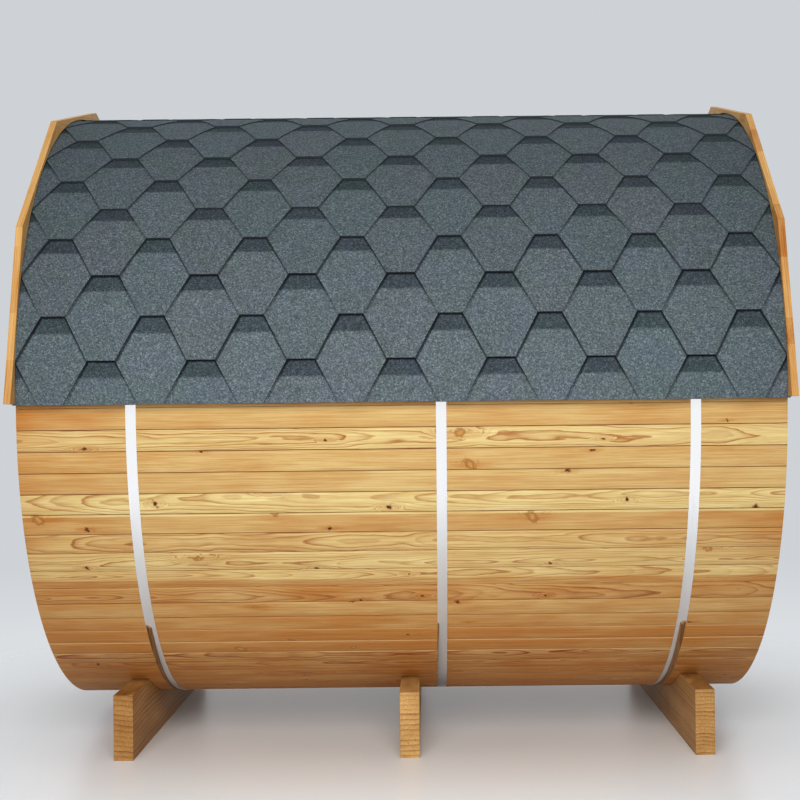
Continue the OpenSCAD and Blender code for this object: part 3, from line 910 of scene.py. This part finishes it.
# %% End boards
END_BOARDS = 6
END_SEG = math.pi / END_BOARDS
END_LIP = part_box("end_boards_right")[1].x - BARREL_END
END_HOOK = BARREL_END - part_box("end_boards_right")[0].x
END_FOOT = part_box("end_boards_right")[0].z - AXIS_Z
END_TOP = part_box("end_boards_right")[1].z - AXIS_Z
END_MID_R = END_TOP * math.cos(END_SEG / 2)
END_COLUMNS = 10
END_EASE = 1.0 * MM
END_TONES = (0.35, 0.2, 0.0, 0.0, 0.2, 0.35)
LEFT_PALER = 0.25
HOOK_R = ROOF_R + SEAT_FIT
GLUE_LINE = 1 * MM


def end_face(middle):
    """The flat face of a board whose middle lies at an angle above level, cut off level at its foot."""
    mitre = BOARD_GAP / 2 / END_MID_R
    bm = bmesh.new()
    bmesh.ops.create_grid(bm, x_segments=END_COLUMNS, y_segments=2, size=0.5)
    for v in bm.verts:
        a = v.co.x * (END_SEG - 2 * mitre)
        row = round((v.co.y + 0.5) * 2)
        r = (INNER_R, HOOK_R, END_MID_R / math.cos(a))[row]
        v.co = (r * math.sin(a), r * math.cos(a), 0)
    up = Vector((math.cos(middle), math.sin(middle), 0))
    cut(bm, up * END_FOOT, up, clear_inner=True)
    return bm


def end_board(index, right):
    """A board with its lip and hook, turned to its place. Those past the ridge are mirrored."""
    far = index >= END_BOARDS / 2
    middle = ((END_BOARDS - 1 - index if far else index) + 0.5) * END_SEG
    bm = end_face(middle)
    extrude(bm, bm.faces[:], -END_LIP)
    back = [f for f in bm.faces if all(v.co.z < -END_LIP / 2 for v in f.verts) and
            f.calc_center_median().to_2d().length > HOOK_R]
    extrude(bm, back, -END_HOOK)
    bmesh.ops.delete(bm, geom=[f for f in back if f.is_valid], context="FACES")
    bmesh.ops.remove_doubles(bm, verts=bm.verts, dist=MERGE)
    ease_sharp_edges(bm, degrees=50, ease=END_EASE)
    tone = END_TONES[index] + rng.uniform(-0.1, 0.1) - (0 if right else LEFT_PALER)
    half = END_MID_R * math.tan(END_SEG / 2)
    glued = sorted(half * (share + rng.uniform(-0.2, 0.2)) for share in (-0.55, 0.05, 0.6))
    steps = [rng.uniform(0.08, 0.26) * side for side in rng.choice(((-1, 1, -1, 1), (1, -1, 1, -1)))]
    for s in glued:
        cut(bm, (s, 0, 0), (1, 0, 0))
        cut(bm, (s + GLUE_LINE, 0, 0), (1, 0, 0))
    pith = (ROOF_R + rng.uniform(-40, 40) * MM, rng.uniform(40, 90) * MM, 20 * MM)
    stamp(bm, tone, pith, joints=NO_JOINTS)
    tones = bm.verts.layers.float["tone"]
    for v in bm.verts:
        s, h, x = v.co
        v[tones] = tone + steps[sum(s > line + GLUE_LINE / 2 for line in glued)]
        y = h * math.cos(middle) - s * math.sin(middle)
        z = h * math.sin(middle) + s * math.cos(middle)
        x_end = BARREL_END + END_LIP + x
        v.co = (x_end if right else -x_end, -y if far else y, AXIS_Z + z)
    return bm


for side in ("left", "right"):
    boards = [end_board(i, side == "right") for i in range(END_BOARDS)]
    finish_piece(f"end_trim_{side}", join(boards), [trim_pine], "trim_wood", f"end_boards_{side}", flat=True)
print("end boards:", 2 * END_BOARDS)

# %% [markdown]
# ## End walls
# The walls are upright boards cut to the round of the barrel, where their ends sit in a
# groove of the staves. One disc with drawn lines would look flat, so each board is a small
# grid whose ends are moved on to the circle, or to the edge of the door opening, and then
# extruded. The long edges of the show face are eased, so that a fine line parts the boards.

# %% End walls
WALL_EASE = 2 * MM
WALL_BOARD_W = 120 * MM
WALL_COLUMNS = 6
WALL_R = (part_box("back_wall")[1].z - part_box("back_wall")[0].z) / 2


def wall_board(y0, y1, bottom, top, face_x, thickness, outward):
    """An upright board from y0 to y1. bottom and top give its ends, from the axis, for each y."""
    middle = (y0 + y1) / 2
    width = y1 - y0 - BOARD_GAP
    bm = bmesh.new()
    bmesh.ops.create_grid(bm, x_segments=1, y_segments=WALL_COLUMNS, size=0.5)
    for v in bm.verts:
        y = v.co.y * width
        end = top if v.co.x > 0 else bottom
        v.co = (end(middle + y), y, 0)
    extrude(bm, bm.faces[:], -thickness)
    ease_long_edges(bm, width, WALL_EASE)
    figure = rng.random()
    stamp(bm, rng.uniform(0.0, 0.6), random_pith(figure), figure)
    for v in bm.verts:
        v.co = (face_x + outward * v.co.z, middle + v.co.y, AXIS_Z + v.co.x)
    return bm


def board_row(y0, y1, bottom, top, face_x, thickness, outward):
    """Boards of about one width, side by side, as one mesh."""
    count = max(1, round((y1 - y0) / WALL_BOARD_W))
    step = (y1 - y0) / count
    return join([wall_board(y0 + i * step, y0 + (i + 1) * step, bottom, top, face_x, thickness, outward)
                 for i in range(count)])


def rim(y):
    """The height of the wall's round edge above the axis."""
    return math.sqrt(max(WALL_R ** 2 - y ** 2, 0))


def under_rim(y):
    """The same edge below the axis."""
    return -rim(y)


front_low, front_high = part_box("front_wall_left")
door_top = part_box("front_wall_over_door")[0].z - AXIS_Z
door_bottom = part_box("front_wall_under_door")[1].z - AXIS_Z
door_side = front_low.y
wall_t = front_high.x - front_low.x
back_boards = board_row(-WALL_R, WALL_R, under_rim, rim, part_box("back_wall")[1].x, wall_t, 1)
finish_piece("wall_boards_back", back_boards, [stave_pine], "wall_wood", "back_wall", flat=True)
front_parts = {
    "left": (door_side, WALL_R, under_rim, rim),
    "right": (-WALL_R, -door_side, under_rim, rim),
    "over_door": (-door_side, door_side, lambda y: door_top, rim),
    "under_door": (-door_side, door_side, under_rim, lambda y: door_bottom),
}
for part, span in front_parts.items():
    finish_piece(f"wall_boards_{part}", board_row(*span, front_low.x, wall_t, -1), [stave_pine],
                 "wall_wood", f"front_wall_{part}", flat=True)
print("end walls: back and front, round a door opening", round(2 * door_side, 3), "m wide")

# %% [markdown]
# ## Door frame and leaf
# The door is a plain leaf of upright boards in a timber frame. The jambs run the full
# height, and the head and sill fit between them. Both are made with the board tools, so
# their grain runs along each member, which one extruded frame couldn't show.

# %% Door frame and leaf
FRAME_W = 45 * MM
FRAME_EASE = 2.5 * MM
frame_low, frame_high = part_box("door_frame")
leaf_low, leaf_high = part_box("door_leaf")


def frame_member(length, centre, upright):
    """A board of the frame, set upright or level with its middle at centre."""
    bm = flat_board(length, FRAME_W, frame_high.x - frame_low.x, FRAME_EASE, across=1)
    stamp(bm, rng.uniform(0.1, 0.4), random_pith(0))
    for v in bm.verts:
        a, b, depth = v.co
        y, z = (b, a) if upright else (a, b)
        v.co = (frame_low.x - depth, centre[0] + y, centre[1] + z)
    return bm


jamb_y = frame_high.y - FRAME_W / 2
head_z = frame_high.z - FRAME_W / 2
sill_z = frame_low.z + FRAME_W / 2
middle_z = (frame_low.z + frame_high.z) / 2
members = [frame_member(frame_high.z - frame_low.z, (y, middle_z), True) for y in (-jamb_y, jamb_y)]
members += [frame_member(2 * (jamb_y - FRAME_W / 2 - SEAT_FIT), (0, z), False) for z in (sill_z, head_z)]
finish_piece("door_frame_timber", join(members), [trim_pine], "trim_wood", "door_frame", flat=True)
leaf_boards = board_row(leaf_low.y, leaf_high.y, lambda y: leaf_low.z - AXIS_Z,
                        lambda y: leaf_high.z - AXIS_Z, leaf_low.x, leaf_high.x - leaf_low.x, -1)
finish_piece("door_leaf_boards", leaf_boards, [stave_pine], "wall_wood", "door_leaf", flat=True)
print("door leaf:", round(leaf_high.z - leaf_low.z, 3), "m high")

# %% [markdown]
# ## Hinges
# The leaf hangs on two strap hinges of black powder-coated steel. A hinge is a flat plate
# with round corners, a knuckle with two seams, and five domed screws. Plates are bevelled
# boxes. Knuckles and screws could be cylinders, but a profile spun round an axis, as a lathe
# would turn it, gives them their seams and domes.

# %% Hinges
HINGE_T = 4 * MM
STRAP_H = 40 * MM
STRAP_CORNER = 8 * MM
KNUCKLE_R = 8 * MM
KNUCKLE = ((0, 0), (0, 0.85), (0.03, 1), (0.32, 1), (0.335, 0.9), (0.35, 1), (0.65, 1), (0.665, 0.9),
           (0.68, 1), (0.97, 1), (1, 0.85), (1, 0))
PIN_GAP = 1.5 * MM
SCREW_R = 4 * MM
SCREW_L = 1.6 * MM
SCREW_PROUD = 0.7 * MM
SCREW = ((0, 0), (0, 0.5), (0.4, 0.9), (1, 1), (1, 0))
SCREW_PLACES = (0.06, 0.3, 0.55, 0.8, 0.94)
UPRIGHT = Matrix.Rotation(math.pi / 2, 4, "Y")
hinge_low, hinge_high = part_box("door_hinges")


def powder_coat():
    """Black powder-coated steel: a soft sheen with a fine orange-peel texture."""
    material, tree, shader = new_material("black_powder_coat")
    place = add(tree, "TexCoord").outputs["Object"]
    peel = add(tree, "TexNoise", {"Vector": place, "Scale": 1 / (2.5 * MM), "Detail": 2.0})
    tint = add(tree, "Mix", {"Factor": peel, FIRST: linear("#161617"), SECOND: linear("#232426")},
               data_type="RGBA")
    bump = add(tree, "Bump", {"Height": peel, "Distance": 0.1 * MM, "Strength": 0.4})
    feed(tree, shader, {"Base Color": tint, "Normal": bump, "Roughness": 0.45})
    return material


def rod(length, radius, profile, segments=24):
    """A turned rod along X: profile holds shares of the radius at shares of the length."""
    bm = bmesh.new()
    points = [bm.verts.new((share * length - length / 2, radius * r, 0)) for share, r in profile]
    edges = [bm.edges.new(pair) for pair in zip(points, points[1:])]
    bmesh.ops.spin(bm, geom=points + edges, cent=(0, 0, 0), axis=(1, 0, 0), angle=math.tau,
                   steps=segments, use_merge=True)
    bmesh.ops.remove_doubles(bm, verts=bm.verts, dist=MERGE / 2)
    return bm


def hinge(z):
    """The parts of one hinge at a height: plate, knuckle and screws."""
    plate = bmesh.new()
    bmesh.ops.create_cube(plate, size=1.0)
    strap_l = hinge_high.y - hinge_low.y
    bmesh.ops.scale(plate, vec=(HINGE_T, strap_l, STRAP_H), verts=plate.verts)
    corners = [e for e in plate.edges if abs(e.verts[0].co.x - e.verts[1].co.x) > HINGE_T / 2]
    bmesh.ops.bevel(plate, geom=corners, offset=STRAP_CORNER, offset_type="OFFSET", segments=4, profile=0.5,
                    affect="EDGES", material=-1)
    middle = (hinge_high.x - HINGE_T / 2, (hinge_low.y + hinge_high.y) / 2, z)
    bmesh.ops.translate(plate, vec=middle, verts=plate.verts)
    knuckle = rod(STRAP_H, KNUCKLE_R, KNUCKLE)
    pin = Matrix.Translation((hinge_high.x - KNUCKLE_R, leaf_high.y + PIN_GAP, z))
    bmesh.ops.transform(knuckle, matrix=pin @ UPRIGHT, verts=knuckle.verts)
    screws = []
    for share in SCREW_PLACES:
        head = rod(SCREW_L, SCREW_R, SCREW, segments=12)
        seat = (hinge_high.x - HINGE_T - SCREW_PROUD, hinge_low.y + share * strap_l, z)
        bmesh.ops.translate(head, vec=seat, verts=head.verts)
        screws.append(head)
    return [plate, knuckle] + screws


black_coat = powder_coat()
hinge_parts = hinge(hinge_low.z + STRAP_H / 2) + hinge(hinge_high.z - STRAP_H / 2)
finish_piece("strap_hinges", join(hinge_parts), [black_coat], "hinge_iron", "door_hinges")
print("hinges:", len(hinge_parts), "parts")

# %% [markdown]
# ## Handle
# The leaf is pulled by a turned wooden bar on two pegs, because metal would burn the hand in
# a hot room. The bar is a profile spun round its length, a little slimmer in the middle, and
# it is stamped as wood before it is stood upright.

# %% Handle
TURNED = ((0, 0), (0, 0.7), (0.012, 0.9), (0.03, 1), (0.5, 0.94), (0.97, 1), (0.988, 0.9), (1, 0.7), (1, 0))
PEG = ((0, 0), (0, 0.66), (1, 0.66), (1, 0))
BAR_PITH = (30 * MM, 60 * MM, 0)
grip_low, grip_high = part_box("door_handle")
grip_r = (grip_high.y - grip_low.y) / 2
grip_l = grip_high.z - grip_low.z
grip_y = (grip_low.y + grip_high.y) / 2
grip = rod(grip_l, grip_r, TURNED)
stamp(grip, 0.3, BAR_PITH, joints=NO_JOINTS)
grip_place = Matrix.Translation((grip_low.x + grip_r, grip_y, AXIS_Z))
bmesh.ops.transform(grip, matrix=grip_place @ UPRIGHT, verts=grip.verts)
handle_parts = [grip]
for end in (-1, 1):
    peg = rod(grip_high.x - grip_low.x - grip_r, grip_r, PEG)
    stamp(peg, 0.4, BAR_PITH, joints=NO_JOINTS)
    at = ((grip_low.x + grip_r + grip_high.x) / 2, grip_y, AXIS_Z + end * (grip_l / 2 - 2 * grip_r))
    bmesh.ops.translate(peg, vec=at, verts=peg.verts)
    handle_parts.append(peg)
finish_piece("turned_handle", join(handle_parts), [trim_pine], "trim_wood", "door_handle")
print("handle:", round(grip_l, 3), "m long")

# %% [markdown]
# ## Floor
# The sauna stands on a pale satin floor, which mirrors it faintly. A floor with an edge would
# draw a horizon, so this disc turns transparent away from the sauna and leaves the even
# background behind it. Its colour is painted shade: darker near the sauna, paler further out.

# %% Floor
FLOOR_R = 9.0
FADE_FROM, FADE_TO = 1.05, 2.7
floor_mesh = bmesh.new()
bmesh.ops.create_circle(floor_mesh, cap_ends=True, radius=FLOOR_R, segments=96)
floor_data = bpy.data.meshes.new("floor")
floor_mesh.to_mesh(floor_data)
floor_mesh.free()
floor = bpy.data.objects.new("floor", floor_data)
bpy.context.collection.objects.link(floor)
floor_paint, tree, shader = new_material("pale_satin_floor")
reach = add(tree, "VectorMath", {0: add(tree, "TexCoord").outputs["Object"]}, operation="LENGTH")
fade = add(tree, "MapRange", {"Value": reach, "From Min": FADE_FROM, "From Max": FADE_TO},
           interpolation_type="SMOOTHSTEP")
faded = add(tree, "MixShader", {0: fade, 1: shader, 2: add(tree, "BsdfTransparent")})
surface = next(n for n in tree.nodes if n.bl_idname == "ShaderNodeOutputMaterial")
# Painted shade: the floor's colour darkens near the sauna and pales away from it
away = add(tree, "MapRange", {"Value": reach, "From Min": 0.6, "From Max": 1.4})
tint = add(tree, "Mix", {"Factor": away, FIRST: linear("#E1E4E4"), SECOND: linear("#F8FCFF")},
           data_type="RGBA")
feed(tree, surface, {"Surface": faded})
feed(tree, shader, {"Base Color": tint, "Roughness": 0.32, "Specular IOR Level": 0.25})
floor_data.materials.append(floor_paint)
print("floor fades from", FADE_FROM, "to", FADE_TO, "m")

# %% [markdown]
# ## Background
# The world is a studio with plain walls. What the camera sees, what a mirror sees and what
# lights the wood need not be the same, so a Light Path node chooses between three
# backgrounds: a grey that brightens below the horizon, bright walls for the steel hoops to
# mirror, and a weak bluish fill.

# %% Background
world = bpy.data.worlds.new("studio")
bpy.context.scene.world = world
world.use_nodes = True
sky = world.node_tree
sky.nodes.clear()
path = add(sky, "LightPath").outputs
mirrored = add(sky, "Math", {0: path["Is Glossy Ray"], 1: path["Is Transmission Ray"]}, operation="MAXIMUM")
gaze = add(sky, "SeparateXYZ", {0: add(sky, "TexCoord").outputs["Generated"]}).outputs["Z"]
lowered = add(sky, "MapRange", {"Value": gaze, "From Min": -0.1, "From Max": -0.16})
graded = add(sky, "Mix", {"Factor": lowered, FIRST: linear("#CED2D6"), SECOND: linear("#DDE1E4")},
             data_type="RGBA")
wall_light = add(sky, "MapRange", {"Value": gaze, "From Min": -0.05, "From Max": 0.15,
                                   "To Min": 1.3, "To Max": 1.05})
backdrop = add(sky, "Background", {"Color": graded, "Strength": 1.0})
walls = add(sky, "Background", {"Color": linear("#FCFDFF"), "Strength": wall_light})
fill = add(sky, "Background", {"Color": linear("#ECF2FC"), "Strength": 0.27})
lit = add(sky, "MixShader", {0: mirrored, 1: fill, 2: walls})
seen = add(sky, "MixShader", {0: path["Is Camera Ray"], 1: lit, 2: backdrop})
add(sky, "OutputWorld", {"Surface": seen})
print("background:", len(sky.nodes), "nodes")

# %% [markdown]
# ## Lamps
# A broad soft lamp in front carries most of the light, as in a product studio, and one above
# the back draws the top edge of the roof. A sun would give harder shadows than a studio has.
# A spot brightens the floor in front of the sauna. The hoops mirror the studio's walls, so
# the lamps themselves are hidden from reflections.

# %% Lamps


def lamp(name, kind, place, aim, power, **settings):
    """A lamp at place that faces aim."""
    light = bpy.data.lights.new(name, kind)
    light.energy = power
    for key, value in settings.items():
        setattr(light, key, value)
    holder = bpy.data.objects.new(name, light)
    holder.location = place
    holder.rotation_euler = (Vector(aim) - Vector(place)).to_track_quat("-Z", "Y").to_euler()
    holder.visible_glossy = False
    bpy.context.collection.objects.link(holder)


centre = (0, 0, AXIS_Z)
lamp("front_lamp", "AREA", (-0.2, -5.5, 2.65), centre, 290, size=3.8)
lamp("back_lamp", "AREA", (0, 3.0, 5.5), centre, 95, size=3.0)
lamp("floor_light", "SPOT", (0, -4.5, 4.0), (0, -2.0, 0), 250, spot_size=math.radians(32), spot_blend=1.0,
     shadow_soft_size=0.4)
print("lamps:", [light.name for light in bpy.data.lights])

# %% [markdown]
# ## Camera
# The camera looks straight ahead at half the barrel's height, rolled by half a degree. Its
# place, lens and shift come from fitting the outline of the barrel. A shifted lens moves the
# picture without tilting the camera, so upright edges stay parallel.

# %% Camera
CAMERA_Y = -4.917
CAMERA_X = 0.0706
CAMERA_DROP = 0.036
CAMERA_ROLL = 0.0105
camera_data = bpy.data.cameras.new("camera")
camera_data.sensor_width = 36.0
camera_data.lens = 62.25
camera_data.shift_x = -0.0333
camera_data.shift_y = 0.0218
camera = bpy.data.objects.new("camera", camera_data)
camera.location = (CAMERA_X, CAMERA_Y, AXIS_Z - CAMERA_DROP)
camera.rotation_euler = (math.pi / 2, CAMERA_ROLL, 0)
bpy.context.collection.objects.link(camera)
bpy.context.scene.camera = camera
bpy.context.scene.view_settings.view_transform = "Standard"
print("camera at", [round(c, 3) for c in camera.location])
